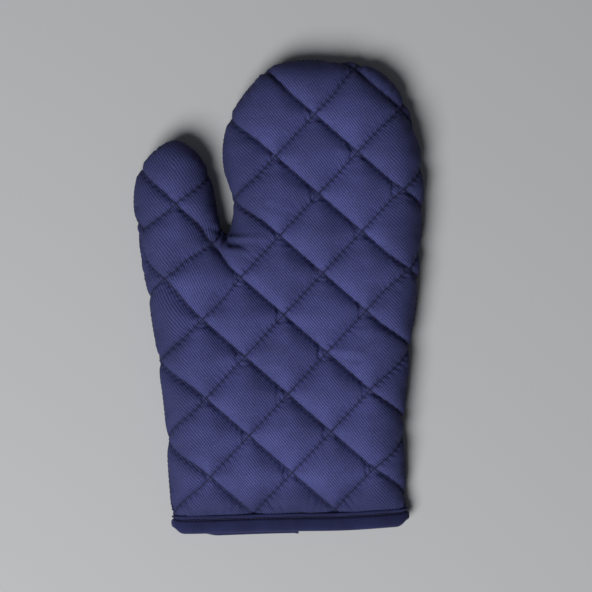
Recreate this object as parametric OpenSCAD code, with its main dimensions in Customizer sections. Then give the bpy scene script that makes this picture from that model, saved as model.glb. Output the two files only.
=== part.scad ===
// Quilted oven mitt, lying flat with its thumb on the left and its cuff towards -Y.
// Two quilted halves of shell, wadding and lining meet at a side seam at mid height.
// The origin is under the middle of the whole mitt, on the surface that it lies on.

/* [Mitt] */
// Length from the cuff to the fingertips, as cut
mitt_length = 300; // [250:5:360]
// Thickness of the mitt as it lies, in the middle of the hand
mitt_height = 26; // [24:1:34]
// Tilt of the cuff's edge across the wrist, in degrees
cuff_tilt = 2; // [0:0.5:3]

/* [Layers] */
// Thickness of the outer twill
shell_t = 1; // [0.8:0.1:1.2]
// Thickness of the wadding in the middle of a half
wadding_t = 6.2; // [5:0.2:7]
// Thickness of the lining cloth
lining_t = 0.8; // [0.5:0.1:1]
// Width of the wadding where the halves turn up to the side seam
edge_wadding = 2.4; // [2:0.2:3.2]

/* [Quilting] */
// Distance between quilting lines, along the falling set
quilt_pitch_falling = 36; // [24:1:48]
// Distance between quilting lines, along the rising set
quilt_pitch_rising = 36; // [24:1:48]
// Angle of the falling set below the horizontal, in degrees
quilt_fall = 41; // [35:1:50]
// Angle of the rising set above the horizontal, in degrees
quilt_rise = 47; // [35:1:50]
// A crossing in the palm that both sets pass through, as cut for a mitt 300 mm long
quilt_cross = [28, 15]; // [-60:1:60]

/* [Binding] */
// Width of the cuff's tape as it shows
tape_w = 11; // [9:0.5:14]
// Thickness of the tape
tape_t = 0.6; // [0.5:0.1:0.7]
// How far the lower half's tape shows past the upper half's
tape_peek = 2; // [0:0.5:3]
// Distance of the topstitch from the tape's inner edge
stitch_in = 2.5; // [2:0.5:4]

/* [Thread] */
// Width of a line of stitches
thread_w = 0.8; // [0.6:0.1:1]
// Height of a line of stitches
thread_t = 0.4; // [0.3:0.1:0.5]

/* [Hidden] */

drawn_length = 300;
size = mitt_length / drawn_length;
seam_z = mitt_height / 2;
curve_steps = 3;
far = 400;
over = 1;

// The edge of a half as drawn for a mitt 300 mm long. It runs up the thumb's outer side,
// down into the crotch, round the fingers and down to the cuff, and it starts and ends
// below the cuff, where the tape's edge cuts it off.
edge_points = [
    [-67, -190], [-67.5, -165], [-68, -140], [-70, -110], [-72, -75], [-76.5, -40],
    [-82, -4], [-87, 26], [-91, 50], [-91.5, 66], [-88, 81], [-79, 93.5],
    [-66.5, 99], [-54.5, 94.5], [-46, 83], [-42, 69], [-39.5, 55], [-37, 44],
    [-33.5, 39], [-30, 44], [-29, 56], [-31.5, 69], [-34.5, 82], [-35, 96],
    [-31.5, 112], [-23.5, 129], [-9, 143.5], [8, 149.5], [30, 150], [52, 148],
    [68, 140], [80, 124], [88, 102], [91.5, 78], [91.5, 50], [88.5, 8],
    [83.5, -36], [80, -78], [80.5, -112], [81.5, -135], [82, -165], [82, -190]
];

// Where the cuff's edge crosses the middle of the wrist, as drawn
cuff_point = [7, -147.5];
cuff_left = -76;
cuff_right = 76;
cuff_round = 6;
round_steps = 6;
peek_from = -58;
peek_to = 6;
peek_steps = 12;

// A half rounds over at its edge in three steps, each a height above the outer face and
// an inset from the edge.
edge_steps = [[4, 0], [1.6, 2], [0, 5]];

panel_t = shell_t + wadding_t + lining_t;
wall_t = shell_t + edge_wadding + lining_t;

// The layers pressed flat inside the tape, from its outer side
tab_shell = [tape_t, shell_t + tape_t - 0.2];
tab_wadding = [tab_shell[1], tab_shell[1] + 2];
tab_lining = [tab_wadding[1], tab_wadding[1] + 0.6];
tape_inner = tab_lining[1] + tape_t;
tape_nose = 2;
tape_side = 5;
seam_inset = 2;
quilt_inset = 6;

function catmull(a, b, c, d, t) =
    0.5 * (2 * b + (c - a) * t + (2 * a - 5 * b + 4 * c - d) * t * t
    + (3 * b - a - 3 * c + d) * t * t * t);
function catmull_slope(a, b, c, d, t) =
    0.5 * ((c - a) + 2 * (2 * a - 5 * b + 4 * c - d) * t + 3 * (3 * b - a - 3 * c + d) * t * t);
function to_right(v) = [v[1], -v[0]] / norm(v);

// The edge as a smooth curve, moved inwards by an inset
function edge(inset) = [
    for (i = [1 : len(edge_points) - 3]) for (k = [0 : curve_steps - 1])
        let (
            a = edge_points[i - 1] * size, b = edge_points[i] * size,
            c = edge_points[i + 1] * size, d = edge_points[i + 2] * size,
            t = k / curve_steps
        )
        catmull(a, b, c, d, t) + inset * to_right(catmull_slope(a, b, c, d, t))
];

// A point given along the cuff and up from its edge, in the mitt's own frame
function on_cuff(x, y) = cuff_point * size
    + [x * cos(cuff_tilt) - y * sin(cuff_tilt), x * sin(cuff_tilt) + y * cos(cuff_tilt)];
function corner(x, y, from) = [
    for (k = [0 : round_steps]) let (a = from + 90 * k / round_steps)
        on_cuff(x + cuff_round * cos(a), y + cuff_round * sin(a))
];
left = cuff_left * size;
right = cuff_right * size;
tape_plan = concat(
    [on_cuff(right, tape_w), on_cuff(left, tape_w)],
    corner(left + cuff_round, cuff_round, 180),
    corner(right - cuff_round, cuff_round, 270)
);
peek_plan = concat(
    [on_cuff(peek_to * size, over), on_cuff(peek_from * size, over)],
    [
        for (k = [0 : peek_steps]) let (s = k / peek_steps)
            on_cuff((peek_from + (peek_to - peek_from) * s) * size, -tape_peek * sin(180 * s))
    ]
);

// The middle of the mitt's whole box, which goes to the origin
xs = [for (p = edge(0)) p[0]];
ys = [for (p = edge(0)) p[1]];
low_ys = [for (p = concat(tape_plan, peek_plan)) p[1]];
middle = [(min(xs) + max(xs)) / 2, (min(low_ys) + max(ys)) / 2];

module centred() {
    translate([-middle[0], -middle[1], 0]) children();
}

// Everything between two distances up from the cuff's edge
module cuff_band(from, to, z0, z1) {
    translate([cuff_point[0] * size, cuff_point[1] * size, z0])
        rotate([0, 0, cuff_tilt])
            translate([-far / 2, from, 0]) cube([far, to - from, z1 - z0]);
}

module slab(inset, z0, z1) {
    translate([0, 0, z0]) linear_extrude(height = z1 - z0) polygon(edge(inset));
}

// A half's volume from its seam down to its outer face at z = 0, drawn in by a wall
// thickness round the edge and a panel thickness on the face
module half_block(wall, face, top) {
    for (s = edge_steps) if (s[0] + face < seam_z) slab(s[1] + wall, s[0] + face, top);
}

module above_tape() {
    difference() {
        children();
        cuff_band(-far, tape_w, -over, seam_z + 2 * over);
    }
}

// A layer pressed flat inside the tape
module tab(range, reach) {
    intersection() {
        slab(tape_side, range[0], range[1]);
        cuff_band(tape_nose, tape_w + reach, range[0], range[1]);
    }
}

module upper_half() {
    translate([0, 0, mitt_height]) mirror([0, 0, 1]) children();
}

module half_shell() {
    above_tape() difference() {
        half_block(0, 0, seam_z);
        half_block(shell_t, shell_t, seam_z + over);
    }
    tab(tab_shell, 0);
}

module half_wadding() {
    difference() {
        above_tape() difference() {
            half_block(shell_t, shell_t, seam_z);
            half_block(wall_t - lining_t, panel_t - lining_t, seam_z + over);
        }
        lining_drop();
        seam_line(seam_z - thread_t, seam_z + over);
    }
    tab(tab_wadding, lining_t + over);
}

module lining_drop() {
    intersection() {
        slab(wall_t, tab_lining[0], panel_t);
        cuff_band(tape_w - over, tape_w + lining_t, tab_lining[0], panel_t);
    }
}

module half_lining() {
    above_tape() difference() {
        half_block(wall_t - lining_t, panel_t - lining_t, seam_z);
        half_block(wall_t, panel_t, seam_z + over);
    }
    above_tape() lining_drop();
    tab(tab_lining, 0);
}

module seam_line(z0, z1) {
    above_tape() difference() {
        slab(seam_inset, z0, z1);
        slab(seam_inset + thread_w, z0 - over, z1 + over);
    }
}

// One set of parallel quilting lines, one of them through the crossing in the palm
module quilt_lines(angle, pitch, z0, z1) {
    count = ceil(mitt_length / pitch);
    translate([quilt_cross[0] * size, quilt_cross[1] * size, z0])
        rotate([0, 0, angle]) for (k = [-count : count])
            translate([-far, k * pitch - thread_w / 2, 0]) cube([2 * far, thread_w, z1 - z0]);
}

module quilting(inset, z0, z1) {
    intersection() {
        above_tape() slab(inset, z0, z1);
        union() {
            quilt_lines(-quilt_fall, quilt_pitch_falling, z0, z1);
            quilt_lines(quilt_rise, quilt_pitch_rising, z0, z1);
        }
    }
}

module tape_slot() {
    intersection() {
        slab(tape_side, tape_t, tape_inner - tape_t);
        cuff_band(tape_nose, tape_w + over, tape_t, tape_inner - tape_t);
    }
}

module top_shell() {
    color("#3f3c74") centred() upper_half() half_shell();
}

module top_wadding() {
    color("#e9e6dc") centred() upper_half() half_wadding();
}

module top_lining() {
    color("#34315f") centred() upper_half() half_lining();
}

module top_quilting() {
    color("#1d1c45") centred() upper_half() quilting(quilt_inset, -thread_t, 0);
}

module bottom_shell() {
    color("#3f3c74") centred() half_shell();
}

module bottom_wadding() {
    color("#e9e6dc") centred() half_wadding();
}

module bottom_lining() {
    color("#34315f") centred() half_lining();
}

module bottom_quilting() {
    color("#1d1c45") centred() quilting(quilt_inset + wall_t, panel_t, panel_t + thread_t);
}

module closing_seam() {
    color("#1d1c45") centred() seam_line(seam_z - thread_t, seam_z + thread_t);
}

module cuff_binding() {
    color("#282650") centred() difference() {
        union() {
            linear_extrude(height = mitt_height) polygon(tape_plan);
            linear_extrude(height = tape_inner) polygon(peek_plan);
        }
        intersection() {
            slab(tape_side, tape_inner, mitt_height - tape_inner);
            cuff_band(-far, far, tape_inner, mitt_height - tape_inner);
        }
        tape_slot();
        upper_half() tape_slot();
    }
}

module binding_stitch() {
    color("#1d1c45") centred() {
        upper_half() stitch_row(-thread_t, 0);
        stitch_row(tape_inner, tape_inner + thread_t);
    }
}

module stitch_row(z0, z1) {
    intersection() {
        slab(tape_side + over, z0, z1);
        cuff_band(tape_w - stitch_in - thread_w, tape_w - stitch_in, z0, z1);
    }
}

top_shell();
top_wadding();
top_lining();
top_quilting();
bottom_shell();
bottom_wadding();
bottom_lining();
bottom_quilting();
closing_seam();
cuff_binding();
binding_stitch();
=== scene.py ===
"""A quilted oven mitt that lies flat, with its thumb on the left and its cuff towards -Y.

Each half is a sheet of twill on a lattice of quilting lines. The lines are held down on a
domed form and the cloth between them is blown up by the wadding, as a cloth simulation.
The linings, waddings, tape and threads are then fitted to the two shells.
"""

import math

import bmesh
import bpy
from mathutils import Matrix, Vector, noise
from mathutils.bvhtree import BVHTree
from mathutils.kdtree import KDTree


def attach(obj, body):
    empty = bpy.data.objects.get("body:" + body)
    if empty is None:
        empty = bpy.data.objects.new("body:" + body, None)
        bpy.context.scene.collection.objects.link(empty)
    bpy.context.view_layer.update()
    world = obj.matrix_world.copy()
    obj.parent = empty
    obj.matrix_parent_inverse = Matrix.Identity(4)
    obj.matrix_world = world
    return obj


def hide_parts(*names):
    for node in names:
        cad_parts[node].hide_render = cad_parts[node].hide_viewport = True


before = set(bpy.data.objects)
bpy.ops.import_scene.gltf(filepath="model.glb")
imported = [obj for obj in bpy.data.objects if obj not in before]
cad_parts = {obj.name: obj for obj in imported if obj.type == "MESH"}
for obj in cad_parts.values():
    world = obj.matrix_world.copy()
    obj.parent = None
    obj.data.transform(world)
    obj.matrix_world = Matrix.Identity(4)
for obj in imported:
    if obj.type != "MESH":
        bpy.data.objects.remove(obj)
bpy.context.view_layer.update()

MM = 0.001

# The cuff: a line across the wrist, a little tilted, with the tape folded over it
CUFF_TILT = math.radians(2)
CUFF_POINT = Vector((7.6, -147.5)) * MM
CUFF_HALF = 73.6 * MM
TAPE_W = 11 * MM
TAPE_IN = 3 * MM
TAPE_STATION = 1.3 * MM
TAPE_OVERLAP = 8 * MM
TAPE_START = 5.7 * MM
TAPE_CORNER = 6 * MM
PEEK = 2.4 * MM
PEEK_FROM = -60 * MM
EDGE_LAYERS = 2.6 * MM

# The quilting: two sets of lines 36 mm apart that cross in the palm
PITCH = 36 * MM
FALL = math.radians(41)
RISE = math.radians(47)
CROSS = Vector((28, 15)) * MM
SIDE = PITCH / math.sin(FALL + RISE)
DOWN_RIGHT = Vector((math.cos(FALL), -math.sin(FALL))) * SIDE
DOWN_LEFT = Vector((-math.cos(RISE), -math.sin(RISE))) * SIDE
CELLS_A = (-5, 5)
CELLS_B = (-4, 6)

# Heights above the table
SEAM_Z = 11 * MM
SEAM_Z_CUFF = 7 * MM
SEAM_RISE = 70 * MM
CUFF_BLEND = 42 * MM
MOUTH_TOP = 7 * MM
MOUTH_BOTTOM = 4.4 * MM
MOUTH_ROUND = 2.6

# The layers
CLOTH = 0.8 * MM
LINING_DEPTH = 3 * MM
STITCH = 3.6 * MM
TAPE_STITCH = 2.6 * MM
SEAM_STITCH = 2.8 * MM
SHORTEST_STITCH = 1 * MM
LONGEST_STITCH = 6 * MM
GROOVE = 0.5 * MM
HOLE = 0.4 * MM
TUCK = 1.8 * MM
TUCK_WIDTH = 4 * MM

# The cloth simulation: the wadding presses hardest beside the stitches
PRESSURE = 6.5
PRESSURE_FLOOR = 0.9
PRESSURE_REACH = 5 * MM
SLACK = 0.058
BIAS = 1 * MM


def smooth(t):
    """0 below 0, 1 above 1, and a soft step between."""
    t = min(1.0, max(0.0, t))
    return t * t * (3 - 2 * t)


def mix(a, b, t):
    return a + (b - a) * t


def catmull(a, b, c, d, t):
    return 0.5 * (
        b * 2
        + (c - a) * t
        + (a * 2 - b * 5 + c * 4 - d) * t * t
        + (b * 3 - a - c * 3 + d) * t * t * t
    )


def new_object(name, mesh, slot, *nodes):
    """A piece that shows in place of these nodes of the frame."""
    ob = bpy.data.objects.new(name, mesh)
    bpy.context.scene.collection.objects.link(ob)
    if slot:
        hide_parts(*nodes)
        mesh.materials.append(MATERIALS[slot])
    return ob


def finish_mesh(bm, name):
    mesh = bpy.data.meshes.new(name)
    bm.to_mesh(mesh)
    bm.free()
    for p in mesh.polygons:
        p.use_smooth = True
    return mesh


# ---------------------------------------------------------------- the mitt's outline


def rim_of(node):
    """The outer edge of a shell's rim, in order from the cuff's left end round to its right end.

    The rim is the shell's lowest level, and its outer wall stands taller than its inner one.
    """
    bm = bmesh.new()
    bm.from_mesh(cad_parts[node].data)
    bmesh.ops.remove_doubles(bm, verts=bm.verts, dist=1e-6)
    low = min(v.co.z for v in bm.verts)

    def wall_top(v):
        return max(e.other_vert(v).co.z for e in v.link_edges)

    rim = [v for v in bm.verts if v.co.z < low + 1e-5]
    tallest = max(wall_top(v) for v in rim)
    outer = {v for v in rim if wall_top(v) > tallest - 1e-4}
    v = min(outer, key=lambda v: v.co.y + 0.2 * v.co.x)
    line = []
    while v is not None:
        line.append(Vector(v.co.xy))
        outer.discard(v)
        near = [w for w in (e.other_vert(v) for e in v.link_edges) if w in outer]
        v = min(near, key=lambda w: (w.co - v.co).length) if near else None
    bm.free()
    return line


class Outline:
    """The mitt's outline in plan, with distances measured inwards from it."""

    def __init__(self, rim, step=0.5 * MM):
        below = 30 * MM
        first = rim[0] + (rim[0] - rim[3]).normalized() * below
        last = rim[-1] + (rim[-1] - rim[-4]).normalized() * below
        ctrl = [first * 2 - rim[0], first, *rim, last, last * 2 - rim[-1]]
        self.points = []
        for a, b, c, d in zip(ctrl, ctrl[1:], ctrl[2:], ctrl[3:]):
            n = max(1, round((c - b).length / step))
            self.points += [catmull(a, b, c, d, k / n) for k in range(n)]
        self.inward = []
        along = Vector((0, 1))
        for a, b in zip(self.points, self.points[1:] + self.points[-1:]):
            along = (b - a).normalized() if (b - a).length > 0 else along
            self.inward.append(Vector((along.y, -along.x)))
        self.tree = KDTree(len(self.points))
        for i, p in enumerate(self.points):
            self.tree.insert((p.x, p.y, 0), i)
        self.tree.balance()

    def measure(self, p):
        """A plan point's (distance inwards, nearest outline point, direction inwards, index)."""
        _, i, _ = self.tree.find((p.x, p.y, 0))
        best = None
        for j in (max(0, i - 1), min(i, len(self.points) - 2)):
            a, b = self.points[j], self.points[j + 1]
            t = min(1.0, max(0.0, (p - a).dot(b - a) / (b - a).length_squared))
            near = a.lerp(b, t)
            far = (p - near).length
            if best is None or far < best[0]:
                best = (far, near, j + t)
        far, near, at = best
        facing = self.inward[round(at)]
        inside = 1 if (p - near).dot(facing) >= 0 else -1
        if far > 0.3 * MM:
            facing = (p - near) * (inside / far)
        return far * inside, near, facing, at

    def point(self, at):
        """(outline point, direction inwards) at a fractional index."""
        i = min(max(int(at), 0), len(self.points) - 2)
        t = at - i
        facing = self.inward[i].lerp(self.inward[i + 1], t)
        return self.points[i].lerp(self.points[i + 1], t), facing.normalized()


def cuff_frame(p):
    """A plan point as (across, up): along the cuff's line and up from it."""
    d = p - CUFF_POINT
    c, s = math.cos(CUFF_TILT), math.sin(CUFF_TILT)
    return d.x * c + d.y * s, -d.x * s + d.y * c


def sag(across):
    """How far the cuff's edge hangs below its straight line."""
    return -(0.6 + 0.9 * math.exp(-(((across / MM - 34) / 28) ** 2))) * MM


def above_cuff(p):
    """(across, distance up from the cuff's edge) of a plan point."""
    across, up = cuff_frame(p)
    return across, up - sag(across)


def corner_lift(across):
    """How far the cuff's edge is rounded up at its two corners."""
    end = min(0.9, max(0.0, 1 - (CUFF_HALF - abs(across)) / TAPE_CORNER))
    return TAPE_CORNER * (1 - math.sqrt(1 - end**2))


def at_cuff(across, up, z):
    """The point at a distance up from the cuff's edge, and at a height z."""
    up += sag(across)
    c, s = math.cos(CUFF_TILT), math.sin(CUFF_TILT)
    return Vector((CUFF_POINT.x + across * c - up * s, CUFF_POINT.y + across * s + up * c, z))


# ---------------------------------------------------------------- materials


def socket(tree, node, name, value):
    """Sets a node's input to a value, or links it to another node's output."""
    s = node.inputs[name]
    if isinstance(value, bpy.types.NodeSocket):
        tree.links.new(value, s)
    else:
        s.default_value = value


def add(tree, kind, label=None, **settings):
    node = tree.nodes.new(kind)
    if label:
        node.label = label
    for key, value in settings.items():
        setattr(node, key, value)
    return node


def maths(tree, operation, a, b=None, c=None, clamp=False):
    node = add(tree, "ShaderNodeMath", operation=operation, use_clamp=clamp)
    for i, value in enumerate((a, b, c)):
        if value is not None:
            socket(tree, node, i, value)
    return node.outputs[0]


def remap(tree, value, low, high, to_low, to_high, soft=True):
    node = add(tree, "ShaderNodeMapRange",
               interpolation_type="SMOOTHSTEP" if soft else "LINEAR")
    for name, v in (("Value", value), ("From Min", low), ("From Max", high),
                    ("To Min", to_low), ("To Max", to_high)):
        socket(tree, node, name, v)
    return node.outputs["Result"]


def mix_colour(tree, factor, a, b, blend="MIX"):
    node = add(tree, "ShaderNodeMix", data_type="RGBA", blend_type=blend)
    socket(tree, node, 0, factor)
    socket(tree, node, 6, a)
    socket(tree, node, 7, b)
    return node.outputs[2]


def noise_of(tree, place, scale, detail=2, rough=0.5):
    node = add(tree, "ShaderNodeTexNoise")
    socket(tree, node, "Vector", place)
    for name, v in (("Scale", scale), ("Detail", detail), ("Roughness", rough)):
        socket(tree, node, name, v)
    return node.outputs["Fac"]


def new_group(name, inputs, outputs):
    tree = bpy.data.node_groups.new(name, "ShaderNodeTree")
    for label, kind, value in inputs:
        s = tree.interface.new_socket(label, in_out="INPUT", socket_type=kind)
        if value is not None:
            s.default_value = value
    for label, kind in outputs:
        tree.interface.new_socket(label, in_out="OUTPUT", socket_type=kind)
    return tree, add(tree, "NodeGroupInput"), add(tree, "NodeGroupOutput")


def twill_group():
    """Cotton twill: slanting wales of light warp over dark weft, in metres of cloth."""
    tree, given, out = new_group(
        "twill_weave",
        [("Place", "NodeSocketVector", None), ("Warp", "NodeSocketColor", (0.1, 0.1, 0.3, 1)),
         ("Weft", "NodeSocketColor", (0.03, 0.03, 0.1, 1)),
         ("Wale Pitch", "NodeSocketFloat", 0.00138), ("Slant", "NodeSocketFloat", 0.9),
         ("Painted Sheen", "NodeSocketFloat", 0.5)],
        [("Color", "NodeSocketColor"), ("Height", "NodeSocketFloat"),
         ("Roughness", "NodeSocketFloat")])
    place = given.outputs["Place"]
    wander = noise_of(tree, place, 260, 2)
    fuzz = noise_of(tree, place, 1500, 2)
    turn = add(tree, "ShaderNodeVectorRotate", rotation_type="Z_AXIS")
    socket(tree, turn, "Vector", place)
    socket(tree, turn, "Angle", given.outputs["Slant"])
    split = add(tree, "ShaderNodeSeparateXYZ")
    socket(tree, split, 0, turn.outputs[0])
    along, over = split.outputs["X"], split.outputs["Y"]
    pitch = given.outputs["Wale Pitch"]
    phase = maths(tree, "DIVIDE", over, pitch)
    phase = maths(tree, "ADD", phase, maths(tree, "MULTIPLY", wander, 0.5))
    phase = maths(tree, "ADD", phase, maths(tree, "MULTIPLY", fuzz, 0.35))
    wale = maths(tree, "SINE", maths(tree, "MULTIPLY", phase, 2 * math.pi))
    wale = remap(tree, wale, -0.9, 0.8, 0, 1)
    # The floats of warp yarn follow each other down a wale
    step = maths(tree, "DIVIDE", along, maths(tree, "MULTIPLY", pitch, 0.62))
    step = maths(tree, "ADD", step, maths(tree, "MULTIPLY", phase, 0.5))
    yarn = maths(tree, "SINE", maths(tree, "MULTIPLY", step, 2 * math.pi))
    yarn = remap(tree, yarn, -1, 1, 0.62, 1)
    height = maths(tree, "MULTIPLY", wale, yarn)
    height = maths(tree, "ADD", height, maths(tree, "MULTIPLY", fuzz, 0.35))
    shade = maths(tree, "MULTIPLY", wale, remap(tree, fuzz, 0.3, 0.7, 0.7, 1))
    colour = mix_colour(tree, shade, given.outputs["Weft"], given.outputs["Warp"])
    # Uneven dye, and small pale specks of painted sheen
    patch = remap(tree, noise_of(tree, place, 38, 3, 0.6), 0.3, 0.7, 0.86, 1.14)
    bright = add(tree, "ShaderNodeHueSaturation")
    socket(tree, bright, "Color", colour)
    socket(tree, bright, "Value", patch)
    # Pale specks scattered at random: painted sheen mixed into the cloth's colour
    pale_specks = remap(tree, noise_of(tree, place, 900, 3, 0.7), 0.5, 0.75, 0, 0.4)
    painted_sheen = maths(tree, "MULTIPLY", pale_specks, given.outputs["Painted Sheen"])
    with_sheen_specks = mix_colour(tree, painted_sheen, bright.outputs[0], (0.23, 0.25, 0.56, 1))
    socket(tree, out, "Color", with_sheen_specks)
    socket(tree, out, "Height", height)
    socket(tree, out, "Roughness", remap(tree, wale, 0, 1, 0.92, 0.78))
    return tree


def plain_group():
    """Plain weave: one yarn over, one under, in metres of cloth."""
    tree, given, out = new_group(
        "plain_weave",
        [("Place", "NodeSocketVector", None), ("Yarn", "NodeSocketColor", (0.05, 0.05, 0.15, 1)),
         ("Gap", "NodeSocketColor", (0.01, 0.01, 0.04, 1)),
         ("Yarn Pitch", "NodeSocketFloat", 0.0006)],
        [("Color", "NodeSocketColor"), ("Height", "NodeSocketFloat"),
         ("Roughness", "NodeSocketFloat")])
    place = given.outputs["Place"]
    split = add(tree, "ShaderNodeSeparateXYZ")
    socket(tree, split, 0, place)
    fuzz = noise_of(tree, place, 1800, 2)
    waves = []
    for axis in ("X", "Y"):
        t = maths(tree, "DIVIDE", split.outputs[axis], given.outputs["Yarn Pitch"])
        t = maths(tree, "ADD", t, maths(tree, "MULTIPLY", fuzz, 0.4))
        waves.append(maths(tree, "SINE", maths(tree, "MULTIPLY", t, math.pi)))
    over = maths(tree, "MULTIPLY", waves[0], waves[1])
    height = maths(tree, "ABSOLUTE", over)
    patch = remap(tree, noise_of(tree, place, 60, 3, 0.6), 0.3, 0.7, 0.85, 1.15)
    colour = mix_colour(tree, remap(tree, height, 0.05, 0.6, 0, 1),
                        given.outputs["Gap"], given.outputs["Yarn"])
    bright = add(tree, "ShaderNodeHueSaturation")
    socket(tree, bright, "Color", colour)
    socket(tree, bright, "Value", patch)
    socket(tree, out, "Color", bright.outputs[0])
    socket(tree, out, "Height", maths(tree, "ADD", height, maths(tree, "MULTIPLY", fuzz, 0.3)))
    socket(tree, out, "Roughness", remap(tree, height, 0, 1, 0.95, 0.8))
    return tree


def quilting_group():
    """Where the quilting pulls the cloth in: 1 at a line, with small puckers at its stitches."""
    tree, given, out = new_group(
        "quilting_lines",
        [("Lattice", "NodeSocketVector", None), ("Pitch", "NodeSocketFloat", PITCH),
         ("Stitch", "NodeSocketFloat", STITCH)],
        [("Line", "NodeSocketFloat"), ("Shade", "NodeSocketFloat"),
         ("Height", "NodeSocketFloat")])
    split = add(tree, "ShaderNodeSeparateXYZ")
    socket(tree, split, 0, given.outputs["Lattice"])
    pitch = given.outputs["Pitch"]
    offs, puckers = [], []
    for across, along in (("X", "Y"), ("Y", "X")):
        t = maths(tree, "PINGPONG", split.outputs[across], 0.5)
        off = maths(tree, "MULTIPLY", t, pitch)
        offs.append(off)
        run = maths(tree, "DIVIDE", maths(tree, "MULTIPLY", split.outputs[along], pitch),
                    given.outputs["Stitch"])
        ripple = maths(tree, "COSINE", maths(tree, "MULTIPLY", run, 2 * math.pi))
        ripple = maths(tree, "MULTIPLY", ripple, remap(tree, off, 0.0004, 0.0035, 1, 0))
        puckers.append(ripple)
    off = maths(tree, "MINIMUM", *offs)
    ripple = maths(tree, "ADD", *puckers)
    # Line and Shade are masks for the painted shade in the grooves: Line narrow at the line itself,
    # Shade wider beside it
    socket(tree, out, "Line", remap(tree, off, 0.0002, 0.0008, 1, 0))
    socket(tree, out, "Shade", remap(tree, off, 0, 0.0018, 1, 0))
    socket(tree, out, "Height", ripple)
    return tree


def material(name, colour, roughness=0.85, sheen=0.0, sheen_tint=(1, 1, 1, 1)):
    m = bpy.data.materials.new(name)
    m.use_nodes = True
    shader = m.node_tree.nodes["Principled BSDF"]
    shader.inputs["Base Color"].default_value = (*colour, 1)
    shader.inputs["Roughness"].default_value = roughness
    shader.inputs["Specular IOR Level"].default_value = 0.25
    shader.inputs["Sheen Weight"].default_value = sheen
    shader.inputs["Sheen Roughness"].default_value = 0.45
    shader.inputs["Sheen Tint"].default_value = sheen_tint
    m.diffuse_color = (*colour, 1)
    return m, m.node_tree, shader


def bump(tree, shader, height, distance, strength=1.0, under=None):
    node = add(tree, "ShaderNodeBump")
    socket(tree, node, "Height", height)
    socket(tree, node, "Distance", distance)
    socket(tree, node, "Strength", strength)
    if under is not None:
        socket(tree, node, "Normal", under)
    if shader is not None:
        socket(tree, shader, "Normal", node.outputs[0])
    return node.outputs[0]


def uv(tree, name):
    return add(tree, "ShaderNodeUVMap", uv_map=name).outputs[0]


def use(tree, group, **inputs):
    node = add(tree, "ShaderNodeGroup", node_tree=group)
    for name, value in inputs.items():
        socket(tree, node, name.replace("_", " "), value)
    return node.outputs


def twill_material(twill, lines):
    """The shells' navy twill, with painted shade making it darker in the quilting grooves and near
    the seams, and specks of painted sheen.
    """
    m, tree, shader = material("navy_twill", (0.07, 0.065, 0.19), sheen=0.02,
                               sheen_tint=(0.55, 0.55, 1, 1))
    weave = use(tree, twill, Place=uv(tree, "cloth"), Warp=(0.092, 0.102, 0.315, 1),
                Weft=(0.038, 0.042, 0.136, 1), Slant=math.radians(52))
    quilt = use(tree, lines, Lattice=uv(tree, "quilt"))
    # Painted shade in the quilting grooves, and at each line a painted dark groove bottom that also
    # gives the thread's colour
    colour = mix_colour(tree, maths(tree, "MULTIPLY", quilt["Shade"], 0.3), weave["Color"],
                        (0.012, 0.011, 0.04, 1))
    colour = mix_colour(tree, maths(tree, "MULTIPLY", quilt["Line"], 0.5), colour,
                        (0.006, 0.006, 0.022, 1))
    # Painted shade: darker towards the seams and the cuff, over the last 30 mm
    from_edge = add(tree, "ShaderNodeAttribute", attribute_name="from_edge").outputs["Fac"]
    painted_edge_shade = remap(tree, from_edge, 0.002, 0.030, 0.6, 0)
    colour = mix_colour(tree, painted_edge_shade, colour, (0.012, 0.013, 0.045, 1))
    socket(tree, shader, "Base Color", colour)
    socket(tree, shader, "Roughness", weave["Roughness"])
    pucker = bump(tree, None, quilt["Height"], 0.2 * MM)
    bump(tree, shader, weave["Height"], 0.13 * MM, under=pucker)
    return m


def plain_material(plain, name, yarn, gap):
    """The plain weave of the tape and of the linings."""
    m, tree, shader = material(name, yarn, sheen=0.15, sheen_tint=(0.6, 0.6, 1, 1))
    weave = use(tree, plain, Place=uv(tree, "cloth"), Yarn=(*yarn, 1), Gap=(*gap, 1))
    socket(tree, shader, "Base Color", weave["Color"])
    socket(tree, shader, "Roughness", weave["Roughness"])
    bump(tree, shader, weave["Height"], 0.12 * MM)
    return m


def wadding_material():
    m, tree, shader = material("undyed_wadding", (0.8, 0.78, 0.72), 0.95, sheen=0.2)
    place = add(tree, "ShaderNodeTexCoord").outputs["Object"]
    fibre = noise_of(tree, place, 700, 5, 0.75)
    colour = mix_colour(tree, fibre, (0.7, 0.67, 0.6, 1), (0.86, 0.84, 0.79, 1))
    socket(tree, shader, "Base Color", colour)
    bump(tree, shader, fibre, 0.5 * MM)
    return m


def thread_material():
    m, tree, shader = material("navy_thread", (0.012, 0.012, 0.04), 0.7, sheen=0.1)
    place = add(tree, "ShaderNodeTexCoord").outputs["Object"]
    ply = noise_of(tree, place, 2500, 2)
    colour = mix_colour(tree, ply, (0.006, 0.006, 0.022, 1), (0.03, 0.03, 0.085, 1))
    socket(tree, shader, "Base Color", colour)
    bump(tree, shader, ply, 0.1 * MM)
    return m


def make_materials():
    twill, plain, lines = twill_group(), plain_group(), quilting_group()
    return {
        "twill": twill_material(twill, lines),
        "tape": plain_material(
            plain, "dark_navy_tape", (0.028, 0.033, 0.125), (0.009, 0.01, 0.036)),
        "lining": plain_material(
            plain, "navy_lining", (0.075, 0.07, 0.2), (0.025, 0.022, 0.07)),
        "wadding": wadding_material(),
        "thread": thread_material(),
    }


MATERIALS = make_materials()
outline = Outline(rim_of("top_shell"))


# ---------------------------------------------------------------- the quilted halves


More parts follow.
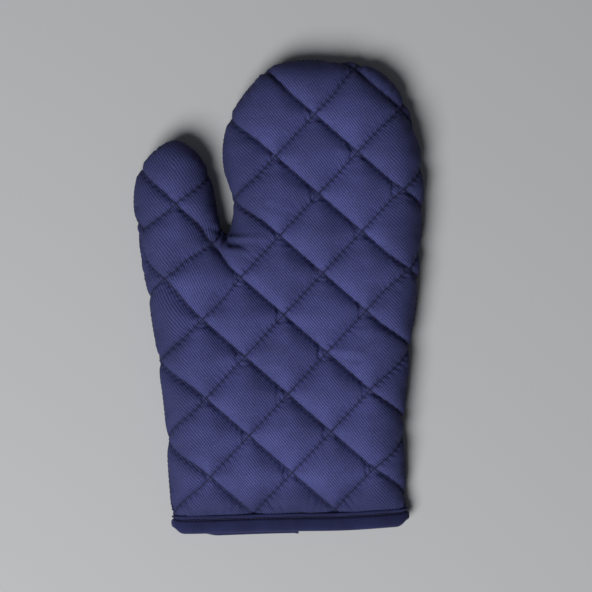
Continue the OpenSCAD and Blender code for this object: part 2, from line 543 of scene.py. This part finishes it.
# How the quilting lies on the thumb: it is turned about a point and drawn inwards and down
THUMB_PIVOT = Vector((-78, 60)) * MM
THUMB_TURN = math.radians(5)
THUMB_IN = 13.5 * MM
THUMB_DOWN = 1.0 * MM

# The top line of the hand is pushed out to its edge, and one climbs the thumb's outer side
TOP_LINE_OUT = 8 * MM
THUMB_LINE_UP = 11 * MM

# Where the quilting was pulled aside: centre, shift and radius
NUDGES = [
    (Vector((-41, 34)) * MM, Vector((-3.6, -1.8)) * MM, 11 * MM),
    (Vector((-58, 23)) * MM, Vector((-2.6, 4.4)) * MM, 14 * MM),
    (Vector((-70, 8)) * MM, Vector((0, 2.0)) * MM, 12 * MM),
]


def sewn_place(p):
    """Where a point of the quilting lattice lies on the mitt.

    The pull on the thumb starts further out beside the gap than in the palm below it.
    """
    beside_gap = smooth((p.y / MM - 30) / 20)
    start = mix(-22, -38, beside_gap)
    width = mix(34, 12, beside_gap)
    pull = smooth((start - p.x / MM) / width) * smooth((p.y / MM + 22) / 52)
    turn = THUMB_TURN * pull
    arm = p - THUMB_PIVOT
    p = p + Vector((THUMB_IN * pull + arm.y * turn, -THUMB_DOWN * pull - arm.x * turn))
    for centre, shift, radius in NUDGES:
        p = p + shift * math.exp(-(p - centre).length_squared / radius**2)
    # The last line at the top of the hand lies round its edge
    beyond = (p - CROSS).dot(Vector((-math.sin(RISE), math.cos(RISE)))) / MM
    outwards = TOP_LINE_OUT * smooth((beyond - 76) / 32) * smooth((p.x / MM + 46) / 8)
    p = p + Vector((-math.cos(FALL), math.sin(FALL))) * outwards
    # And one runs up the thumb's outer side
    climb = smooth((-79 - p.x / MM) / 9) ** 2 * smooth((p.y / MM + 5) / 20) * smooth(
        (62 - p.y / MM) / 22)
    return p + Vector((0, THUMB_LINE_UP * climb))


def seam_z(up):
    """The seam's height: it rises from the cuff's to the hand's."""
    return mix(SEAM_Z_CUFF, SEAM_Z, smooth((up - TAPE_W) / SEAM_RISE))


class Form:
    """The domed form that one layer is laid over, from the seam at its edge to its flat middle."""

    def __init__(self, side, rise, round_over, inset, mouth, uneven):
        self.side = side
        self.rise = rise
        self.round_over = round_over
        self.inset = inset
        self.mouth = mouth
        self.uneven = uneven
        self.arc = math.pi / 2 * math.sqrt((rise**2 + round_over**2) / 2)
        self.reach = round_over + inset

    def along_arc(self, d):
        """How far up the form's round edge the cloth has got at a distance d inwards."""
        left = max(0.0, 1 - d / self.reach)
        return self.arc - (self.reach - d) - (self.arc - self.reach) * left * left

    def place(self, flat, at=None, off=PITCH):
        """The 3-D place of a flat point of the cloth.

        off is its distance from the nearest quilting line, and at is its outline index if it
        is on the seam.
        """
        if at is None:
            d, near, facing, _ = outline.measure(flat)
            d = max(0.0, d)
        else:
            d = 0.0
            near, facing = outline.point(at)
        if d < self.reach:
            turn = self.along_arc(d) / self.arc * math.pi / 2
            lift = math.sin(turn)
            tuck = TUCK * math.exp(-((off / TUCK_WIDTH) ** 2)) * (1 - lift)
            plan = near + facing * (self.inset + tuck + self.round_over * (1 - math.cos(turn)))
        else:
            plan, lift = flat, 1.0
        across, up = above_cuff(plan)
        wave = noise.noise(Vector((plan.x, plan.y, self.side * 0.1)) * 22) * self.uneven
        domed = (self.rise + wave) * lift
        wide = max(0.0, 1 - abs(across / CUFF_HALF) ** MOUTH_ROUND) ** (1 / MOUTH_ROUND)
        z = mix(self.mouth * wide, domed, smooth((up - 0.6 * TAPE_W) / CUFF_BLEND))
        return Vector((plan.x, plan.y, seam_z(up) + self.side * z))

    def cut(self, flat):
        """The place of a flat point on the cloth as it was cut, for the weave."""
        d, near, facing, _ = outline.measure(flat)
        if d >= self.reach:
            return flat.copy()
        return near + facing * (self.along_arc(max(0.0, d)) - self.arc + self.reach)


def flat_grid(steps):
    """A flat sheet on the quilting lattice, cut to the outline and the tape, as a bmesh.

    Returns (bmesh, lattice layers, {vertex on the seam: outline index}).
    """
    bm = bmesh.new()
    across, along = CELLS_A[1] - CELLS_A[0], CELLS_B[1] - CELLS_B[0]
    bmesh.ops.create_grid(bm, x_segments=across * steps, y_segments=along * steps, size=0.5)
    lat_a = bm.verts.layers.float.new("lattice_a")
    lat_b = bm.verts.layers.float.new("lattice_b")
    bm.verts.layers.float.new("from_edge")
    step = SIDE / steps
    outside, below, seam_at = set(), set(), {}
    for v in bm.verts:
        v[lat_a] = round((CELLS_A[0] + (v.co.x + 0.5) * across) * steps) / steps
        v[lat_b] = round((CELLS_B[0] + (v.co.y + 0.5) * along) * steps) / steps
        place = sewn_place(CROSS + DOWN_RIGHT * v[lat_a] + DOWN_LEFT * v[lat_b])
        v.co = (place.x, place.y, 0)
        d, _, _, at = outline.measure(place)
        if d < 0.3 * step:
            outside.add(v)
            seam_at[v] = at
        if above_cuff(place)[1] < TAPE_IN:
            below.add(v)
    gone = [f for f in bm.faces
            if all(v in outside for v in f.verts) or all(v in below for v in f.verts)]
    bmesh.ops.delete(bm, geom=gone, context="FACES_ONLY")
    bare = [e for e in bm.edges if not e.link_faces]
    bmesh.ops.delete(bm, geom=bare, context="EDGES_FACES")
    loose = [v for v in bm.verts if not v.link_faces]
    outside.difference_update(loose)
    for v in loose:
        seam_at.pop(v, None)
    bmesh.ops.delete(bm, geom=loose, context="VERTS")
    # Evens out the sewn edge's points along the outline
    beside = {v: [e.other_vert(v) for e in v.link_edges
                  if e.is_boundary and e.other_vert(v) in outside] for v in outside}
    for _ in range(4):
        moved = {}
        for v in outside:
            if len(beside[v]) == 2:
                a, b = (seam_at[w] for w in beside[v])
                if abs(a - b) < 12 * MM / step:
                    moved[v] = mix(seam_at[v], (a + b) / 2, 0.5)
        seam_at.update(moved)
    for v in outside:
        point, _ = outline.point(seam_at[v])
        v.co = (point.x, point.y, 0)
    return bm, lat_a, lat_b, seam_at


def lay_over(bm, form, lattice, seam_at):
    """Moves a flat sheet onto its form. Its UV maps are the cloth as cut, and the lattice."""
    lat_a, lat_b = lattice
    cloth_uv = bm.loops.layers.uv.new("cloth")
    quilt_uv = bm.loops.layers.uv.new("quilt")
    flat = {v: Vector(v.co.xy) for v in bm.verts}
    for v in bm.verts:
        cut = CROSS + DOWN_RIGHT * v[lat_a] + DOWN_LEFT * v[lat_b] + form.cut(flat[v]) - flat[v]
        for loop in v.link_loops:
            loop[cloth_uv].uv = cut
            loop[quilt_uv].uv = (v[lat_a], v[lat_b])
        off = min(abs(v[lat] - round(v[lat])) for lat in lattice) * PITCH
        v.co = form.place(flat[v], seam_at.get(v), off)
        across, up = above_cuff(v.co.xy)
        lowest = TAPE_IN + corner_lift(across)
        if up < lowest:
            v.co = at_cuff(across, lowest, v.co.z)
    if form.side > 0:
        bmesh.ops.reverse_faces(bm, faces=bm.faces)
    bm.normal_update()
    return flat


def blow_up(ob):
    """Runs the cloth simulation on a sheet whose sewn points are in its group "sewn"."""
    scale = 30  # the solver suits cloth that is some metres across
    ob.data.transform(Matrix.Scale(scale, 4))
    cloth = ob.modifiers.new("cloth", "CLOTH")
    s = cloth.settings
    s.vertex_group_mass = "sewn"
    s.vertex_group_pressure = "wadding"
    s.quality = 5
    s.mass = 0.3
    s.tension_stiffness = 15
    s.compression_stiffness = 15
    s.shear_stiffness = 5
    s.bending_stiffness = 0.4
    s.air_damping = 1
    s.use_pressure = True
    s.uniform_pressure_force = PRESSURE
    s.shrink_min = -SLACK
    s.effector_weights.gravity = 0
    cloth.point_cache.frame_start = 1
    cloth.point_cache.frame_end = FRAMES
    scene = bpy.context.scene
    for f in range(1, FRAMES + 1):
        scene.frame_set(f)
    result = bpy.data.meshes.new_from_object(
        ob.evaluated_get(bpy.context.evaluated_depsgraph_get()))
    scene.frame_set(1)
    ob.modifiers.clear()
    old = ob.data
    ob.data = result
    bpy.data.meshes.remove(old)
    ob.data.transform(Matrix.Scale(1 / scale, 4))
    ob.vertex_groups.clear()


# Creases and ridges of the upper twill in mm: from, to, width, and height at the start
CREASES = [
    # Round the crotch
    ((-31, 37), (-8, 37), 1.5, 1.7),
    ((-30, 33.5), (-10, 34), 1.5, -1.5),
    ((-32, 30), (-14, 28), 1.8, 1.2),
    ((-34, 27), (-26, 17), 1.5, -0.8),
    # Across the palm's first diamonds
    ((-6, 56), (14, 51), 2.4, -0.8),
    ((-6, 60), (12, 56), 2.2, 0.5),
    # At the thumb's root
    ((-37, 41), (-50, 46), 1.4, -1.6),
    ((-41, 34), (-53, 45), 1.6, 1.4),
    ((-33, 38), (-40, 29), 1.3, -2.0),
    # Small ones near the edges
    ((50, -40), (26, -37), 2.2, -1.2),
    ((52, -35), (28, -32), 2.2, 0.7),
    ((76, 4), (58, 8), 2.2, -0.6),
    ((40, 92), (60, 88), 2.2, 0.5),
    ((-56, -52), (-70, -50), 1.8, -0.5),
    ((62, -102), (78, -106), 2.0, -0.6),
]
WRINKLE = 0.45 * MM
FLOOR = 0.4 * MM


def crease_height(p):
    """How far the creases lift the cloth at a plan point."""
    lift = 0.0
    for start, end, wide, high in CREASES:
        a, b = Vector(start) * MM, Vector(end) * MM
        run = min(1.0, max(0.0, (p - a).dot(b - a) / (b - a).length_squared))
        far = (p - a.lerp(b, run)).length / (wide * MM)
        if far < 3:
            lift += high * MM * math.exp(-far * far) * (1 - 0.7 * run)
    return lift


def finish_puffs(ob, form, dip, loose, seed):
    """After the simulation: sinks the stitches, wrinkles the puffs, flattens those on the table."""
    verts = ob.data.vertices
    normals = [v.normal.copy() for v in verts]
    for i, far in dip.items():
        verts[i].co -= normals[i] * far
    for i, gap in loose.items():
        v = verts[i]
        fold = noise.noise(Vector((v.co.x * 35, v.co.y * 120, seed))) * WRINKLE
        if form.side > 0:
            fold += crease_height(v.co.xy)
        v.co += normals[i] * fold * smooth(gap / (5 * MM))
    for v in verts:
        if v.co.z < FLOOR:
            v.co.z = FLOOR * math.exp((v.co.z - FLOOR) / FLOOR * 0.5) * 0.9 + 0.1 * FLOOR


def quilted_shell(name, node, form, steps, seed):
    """One half's twill, sewn down along the quilting lines and blown up between them.

    Returns (object, {lattice point on a line: vertex index}, the seam's vertex indices).
    """
    bm, lat_a, lat_b, seam_at = flat_grid(steps)
    flat = lay_over(bm, form, (lat_a, lat_b), seam_at)
    stitch = max(1, round(STITCH / (SIDE / steps)))
    sewn, wadding, shift, dip, on_lines, loose = [], {}, {}, {}, {}, {}
    bm.verts.index_update()
    for v in bm.verts:
        off_a, off_b = (abs(v[lat] - round(v[lat])) * PITCH for lat in (lat_a, lat_b))
        off = min(off_a, off_b)
        on_line = off < 0.3 * SIDE / steps
        up = above_cuff(flat[v])[1]
        edge = v in seam_at or v.is_boundary
        gap = min(off, max(0.0, outline.measure(flat[v])[0]))
        if on_line or edge or up < TAPE_W + 0.4 * MM:
            sewn.append(v.index)
        else:
            uneven = noise.noise(v.co * 350 + Vector((seed, 0, 0)))
            shift[v] = BIAS * smooth(gap / (8 * MM)) + 0.2 * MM * uneven
            loose[v.index] = gap
        wadding[v.index] = min(1.0, PRESSURE_FLOOR + math.exp(-gap / PRESSURE_REACH))
        if up > TAPE_W and not edge and off < 1.5 * SIDE / steps:
            along = round((v[lat_b] if off_a < off_b else v[lat_a]) * steps)
            hole = along % stitch == 0
            dip[v.index] = (GROOVE + (HOLE if hole else 0)) if on_line else 0.25 * GROOVE
        if on_line and not edge and up > TAPE_W:
            on_lines[round(v[lat_a] * steps), round(v[lat_b] * steps)] = v.index
    for v, far in shift.items():
        v.co += v.normal * far
    # The distance inwards from the seam and the cuff, which sets how far the twill's painted edge
    # shade reaches
    from_edge = bm.verts.layers.float["from_edge"]
    for v in bm.verts:
        inwards = min(outline.measure(flat[v])[0], above_cuff(flat[v])[1] - 0.5 * TAPE_W)
        v[from_edge] = max(0.0, inwards)
    seam = [v.index for v in sorted(seam_at, key=seam_at.get)]
    ob = new_object(name, finish_mesh(bm, name), "twill", node)
    ob.vertex_groups.new(name="sewn").add(sewn, 1.0, "REPLACE")
    group = ob.vertex_groups.new(name="wadding")
    for i, w in wadding.items():
        group.add([i], w, "REPLACE")
    blow_up(ob)
    finish_puffs(ob, form, dip, loose, seed)
    return ob, on_lines, seam


def bead_of_thread():
    """One stitch, 2 long and 2 thick, along X."""
    bm = bmesh.new()
    bmesh.ops.create_uvsphere(bm, u_segments=6, v_segments=5, radius=1,
                              matrix=Matrix.Rotation(math.pi / 2, 4, "Y"))
    return finish_mesh(bm, "bead_of_thread")


BEAD = bead_of_thread()


def add_stitch(bm, a, b, normal, width, thick):
    """Adds a bead of thread between two holes."""
    x = (b - a).normalized()
    y = normal.cross(x).normalized()
    place = Matrix((x, y, x.cross(y))).transposed().to_4x4()
    place.translation = (a + b) / 2
    bead = BEAD.copy()
    bead.transform(place @ Matrix.Diagonal(((b - a).length * 0.44, width / 2, thick / 2, 1)))
    bm.from_mesh(bead)
    bpy.data.meshes.remove(bead)


def stitches_along(bm, points, normals, width=0.6 * MM, thick=0.4 * MM):
    """A row of stitches between neighbouring holes."""
    for a, b, n in zip(points, points[1:], normals):
        if SHORTEST_STITCH < (b - a).length < LONGEST_STITCH:
            add_stitch(bm, a, b, n, width, thick)


def quilting(name, node, shell, on_lines, steps):
    """The stitches of one half's quilting, in the grooves of its shell."""
    bm = bmesh.new()
    stitch = max(1, round(STITCH / (SIDE / steps)))
    verts = shell.data.vertices
    for axis in (0, 1):
        rows = {}
        for key in on_lines:
            if key[axis] % steps == 0 and key[1 - axis] % stitch == 0:
                rows.setdefault(key[axis], []).append(key[1 - axis])
        for row, holes in sorted(rows.items()):
            holes.sort()
            for a, b in zip(holes, holes[1:]):
                if b - a != stitch:
                    continue
                ends = [verts[on_lines[(row, k) if axis == 0 else (k, row)]] for k in (a, b)]
                normal = (ends[0].normal + ends[1].normal).normalized()
                add_stitch(bm, *(e.co + normal * 0.25 * MM for e in ends), normal,
                           0.55 * MM, 0.45 * MM)
    ob = new_object(name, finish_mesh(bm, name), "thread", node)
    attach(ob, "root")
    return ob


TOP = Form(side=1, rise=10.5 * MM, round_over=21 * MM, inset=-0.3 * MM, mouth=MOUTH_TOP,
           uneven=1.6 * MM)
BOTTOM = Form(side=-1, rise=6 * MM, round_over=14 * MM, inset=-0.3 * MM, mouth=MOUTH_BOTTOM,
              uneven=0.6 * MM)
STEPS = 30
STEPS_BELOW = 20
FRAMES = 22

top_shell, top_lines, seam_points = quilted_shell(
    "top_shell_twill", "top_shell", TOP, STEPS, seed=3)
bottom_shell, bottom_lines, _ = quilted_shell(
    "bottom_shell_twill", "bottom_shell", BOTTOM, STEPS_BELOW, seed=8)
quilting("top_quilting_stitches", "top_quilting", top_shell, top_lines, STEPS)
quilting("bottom_quilting_stitches", "bottom_quilting", bottom_shell, bottom_lines, STEPS_BELOW)

for ob in (top_shell, bottom_shell):
    cloth = ob.modifiers.new("thickness", "SOLIDIFY")
    cloth.thickness = CLOTH
    cloth.offset = -1
    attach(ob, "root")


# ---------------------------------------------------------------- lining and wadding


def inner_layers(side, form, shell):
    """One half's lining, and the wadding that fills the space between it and the shell."""
    word = "top" if side > 0 else "bottom"
    steps = 12
    inner = Form(side, form.rise - LINING_DEPTH, form.round_over - 2 * MM, 3.6 * MM,
                 form.mouth - EDGE_LAYERS, form.uneven)
    bm, lat_a, lat_b, seam_at = flat_grid(steps)
    lay_over(bm, inner, (lat_a, lat_b), seam_at)
    tree = BVHTree.FromObject(shell, bpy.context.evaluated_depsgraph_get())
    mark = bm.verts.layers.int.new("mark")
    outer, lining_at = [], []
    bm.verts.index_update()
    for v in bm.verts:
        v[mark] = v.index
        off = min(abs(v[lat] - round(v[lat])) for lat in (lat_a, lat_b)) * PITCH
        bulge = 2 * MM * smooth(off / (12 * MM))
        up = above_cuff(v.co.xy)[1]
        bulge = 0 if v.is_boundary else bulge * smooth((up - TAPE_W) / (15 * MM))
        lining_at.append(v.co - v.normal * bulge)
        hit = tree.ray_cast(v.co - v.normal * MM, v.normal, 12 * MM)[0]
        room = (hit - v.co).dot(v.normal) if hit is not None and not v.is_boundary else 0
        at = v.co + v.normal * min(8 * MM, max(0.15 * MM, room - CLOTH - 0.4 * MM))
        d, near, facing, _ = outline.measure(at.xy)
        if d < 3 * MM:
            at = Vector((*(near + facing * 3 * MM), at.z))
        outer.append(at)

    wad = bm.copy()
    wad_mark = wad.verts.layers.int["mark"]
    raised = bmesh.ops.extrude_face_region(wad, geom=wad.faces[:])["geom"]
    above = {v for v in raised if isinstance(v, bmesh.types.BMVert)}
    for v in wad.verts:
        i = v[wad_mark]
        clear = (outer[i] - lining_at[i]).normalized() * 0.1 * MM
        v.co = outer[i] if v in above else lining_at[i] + clear
    bmesh.ops.recalc_face_normals(wad, faces=wad.faces)
    name = word + "_wadding_pad"
    pad = new_object(name, finish_mesh(wad, name), "wadding", word + "_wadding")
    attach(pad, "root")

    for v, at in zip(bm.verts, lining_at):
        v.co = at
    bmesh.ops.reverse_faces(bm, faces=bm.faces)
    name = word + "_lining_cloth"
    lining = new_object(name, finish_mesh(bm, name), "lining", word + "_lining")
    thick = lining.modifiers.new("thickness", "SOLIDIFY")
    thick.thickness = 0.5 * MM
    thick.offset = 1
    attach(lining, "root")


inner_layers(1, TOP, top_shell)
inner_layers(-1, BOTTOM, bottom_shell)


# ---------------------------------------------------------------- the tape round the cuff


def mouth_loop():
    """The cuff's cross-section as [(across, z, outward, side)], from the tape's start and on
    leftwards under the mitt, round, and back past the start."""
    ring = []
    n = 1440  # points round the section, before it is divided into stations
    for k in range(n):
        t = 2 * math.pi * k / n
        c, s = math.cos(t), math.sin(t)
        power = 2 / MOUTH_ROUND
        half = CUFF_HALF + 0.3 * MM
        tall = MOUTH_TOP if s >= 0 else MOUTH_BOTTOM
        ring.append(Vector((half * math.copysign(abs(c) ** power, c),
                            SEAM_Z_CUFF + tall * math.copysign(abs(s) ** power, s))))
    # t runs from the right end over the top to the left end: the tape runs the other way
    ring.reverse()
    start = min(range(n), key=lambda k: abs(ring[k].x - TAPE_START) + (
        1 if ring[k].y > SEAM_Z_CUFF else 0))
    ring = ring[start:] + ring[:start]
    ring += ring[:n // 8]
    stations, run, want = [], 0.0, 0.0
    total = sum((ring[k + 1] - ring[k]).length for k in range(n - 1))
    for k in range(1, len(ring) - 1):
        run += (ring[k] - ring[k - 1]).length
        if run > total + TAPE_OVERLAP:
            break
        if run >= want:
            along = (ring[k + 1] - ring[k - 1]).normalized()
            outward = Vector((along.y, -along.x))
            if outward.dot(ring[k] - Vector((0, SEAM_Z_CUFF))) < 0:
                outward = -outward
            stations.append((ring[k].x, ring[k].y, outward, run, total))
            want += TAPE_STATION
    return stations


TAPE_PROFILE = [
    # (up from the cuff's edge, out from the quilted cloth), in mm
    (10.2, -0.3), (11.0, 0.1), (11.3, 0.8), (10.9, 1.5), (10.0, 1.6), (9.3, 1.0), (8.7, 0.3),
    (8.1, 0.7), (7.3, 1.6), (5.6, 2.0), (3.6, 2.1), (1.6, 1.8), (0.3, 1.0), (-0.4, -0.2),
    (-0.6, -1.3), (-0.4, -2.4), (0.4, -3.4), (1.8, -3.8), (4.6, -3.8), (7.4, -3.5),
    (8.6, -3.0), (9.8, -3.5), (10.8, -3.5), (11.2, -3.0), (10.6, -2.6),
]
DIP = 8.6 * MM


def tape_profile():
    """The tape's folded section as smooth (up, out) points."""
    pts = [Vector(p) * MM for p in TAPE_PROFILE]
    pts = [pts[0] * 2 - pts[1], *pts, pts[-1] * 2 - pts[-2]]
    line = []
    for a, b, c, d in zip(pts, pts[1:], pts[2:], pts[3:]):
        line += [catmull(a, b, c, d, k / 3) for k in range(3)]
    return line + [pts[-2]]


def tape_point(station, up, out):
    """A point of the tape at a station round the mouth."""
    across, z, outward, run, total = station
    under = z < SEAM_Z_CUFF
    first_lap = run < total / 2
    if under and first_lap:
        # The lower half's tape lies a little lower on the left, and shows below the upper one
        up -= PEEK * smooth((across - PEEK_FROM) / (14 * MM))
        if run < 1.5 * TAPE_STATION:
            up -= 0.3 * MM
    if run > total - 2 * MM:
        # The tape's end is tucked under its start
        out -= 0.5 * MM * smooth((run - total + 2 * MM) / (6 * MM))
    up += corner_lift(across) * max(0, 1 - up / TAPE_W)
    slow = noise.noise(Vector((run * 28, up * 40, 5))) * 0.35 * MM
    pucker = 0.3 * MM * math.cos(2 * math.pi * run / (3.0 * MM)) * math.exp(
        -((up - DIP) / (2 * MM)) ** 2)
    out += (slow + pucker) if out > 0.3 * MM else 0
    p = Vector((across, z)) + outward * out
    if out < 0:
        side = -1 if under else 1
        if side * (p.y - SEAM_Z_CUFF) < 0.35 * MM:
            p.y = SEAM_Z_CUFF + side * 0.35 * MM
    return at_cuff(p.x, up, max(p.y, 0.05 * MM))


def tape():
    stations = mouth_loop()
    profile = tape_profile()
    bm = bmesh.new()
    bmesh.ops.create_grid(bm, x_segments=len(stations) - 1, y_segments=len(profile) - 1, size=0.5)
    cloth_uv = bm.loops.layers.uv.new("cloth")
    lengths = [0.0]
    for a, b in zip(profile, profile[1:]):
        lengths.append(lengths[-1] + (b - a).length)
    for v in bm.verts:
        i = round((v.co.x + 0.5) * (len(stations) - 1))
        j = round((v.co.y + 0.5) * (len(profile) - 1))
        for loop in v.link_loops:
            loop[cloth_uv].uv = (stations[i][3], lengths[j])
        v.co = tape_point(stations[i], *profile[j])
    bm.normal_update()
    top = max(bm.faces, key=lambda f: f.calc_center_median().z)
    if top.normal.z < 0:
        bmesh.ops.reverse_faces(bm, faces=bm.faces)
    ob = new_object("cuff_tape", finish_mesh(bm, "cuff_tape"), "tape", "cuff_binding")
    thick = ob.modifiers.new("thickness", "SOLIDIFY")
    thick.thickness = 0.5 * MM
    thick.offset = -1
    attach(ob, "root")

    # One row of topstitching on the outside and one on the inside, all the way round
    bm = bmesh.new()
    for out, way in ((0.8 * MM, 1), (-3.2 * MM, -1)):
        points, normals = [], []
        every = max(1, round(TAPE_STITCH / TAPE_STATION))
        for st in stations[: round(stations[0][4] / TAPE_STATION)][::every]:
            points.append(tape_point(st, DIP, out))
            normals.append(Vector((st[2].x, 0, st[2].y)) * way)
        stitches_along(bm, points, normals, width=0.8 * MM, thick=0.6 * MM)
    rows = new_object("cuff_topstitching", finish_mesh(bm, "cuff_topstitching"), "thread",
                      "binding_stitch")
    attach(rows, "root")


tape()


# ---------------------------------------------------------------- the closing seam


def closing_seam():
    """Stitches that join the two halves, in the crease all round the outline."""
    bm = bmesh.new()
    points, normals = [], []
    for i in seam_points:
        p = top_shell.data.vertices[i].co
        if above_cuff(p.xy)[1] > TAPE_W and (not points or (p - points[-1]).length > SEAM_STITCH):
            facing = outline.measure(p.xy)[2]
            points.append(p - Vector((facing.x, facing.y, 0)) * 0.1 * MM)
            normals.append(Vector((-facing.x, -facing.y, 0)))
    stitches_along(bm, points, normals, width=0.5 * MM, thick=0.4 * MM)
    ob = new_object("closing_seam_stitches", finish_mesh(bm, "closing_seam_stitches"), "thread",
                    "closing_seam")
    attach(ob, "root")


closing_seam()


# ---------------------------------------------------------------- table, light and camera


# One large soft light, in metres and watts, and a dim sky
KEY_PLACE = Vector((-1.08, -1.42, 2.02))
KEY_SIZE = 1.7
KEY_POWER = 68
SKY_STRENGTH = 0.06


def key_light():
    """A round soft light that faces the mitt from beyond its cuff, on the thumb's side."""
    data = bpy.data.lights.new("key", "AREA")
    data.shape = "DISK"
    data.size = KEY_SIZE
    data.energy = KEY_POWER
    ob = bpy.data.objects.new("key", data)
    ob.location = KEY_PLACE
    ob.rotation_euler = (-KEY_PLACE).to_track_quat("-Z", "Y").to_euler()
    bpy.context.scene.collection.objects.link(ob)


def table():
    bm = bmesh.new()
    bmesh.ops.create_grid(bm, x_segments=1, y_segments=1, size=3)
    ob = new_object("table", finish_mesh(bm, "table"), None)
    ob.data.materials.append(material("pale_table", (0.6, 0.61, 0.62), 0.75)[0])


def camera():
    data = bpy.data.cameras.new("camera")
    data.lens = 100
    data.sensor_width = 36
    ob = bpy.data.objects.new("camera", data)
    view_width = 376 * MM
    aim = Vector((11.1, 0.6, 13)) * MM
    ob.location = aim + Vector((0, 0, view_width * data.lens / data.sensor_width))
    bpy.context.scene.collection.objects.link(ob)
    bpy.context.scene.camera = ob


def studio():
    key_light()
    world = bpy.data.worlds.new("studio")
    world.use_nodes = True
    sky = world.node_tree.nodes["Background"]
    sky.inputs["Color"].default_value = (0.9, 0.93, 1, 1)
    sky.inputs["Strength"].default_value = SKY_STRENGTH
    bpy.context.scene.world = world
    bpy.context.scene.view_settings.view_transform = "Standard"


table()
camera()
studio()
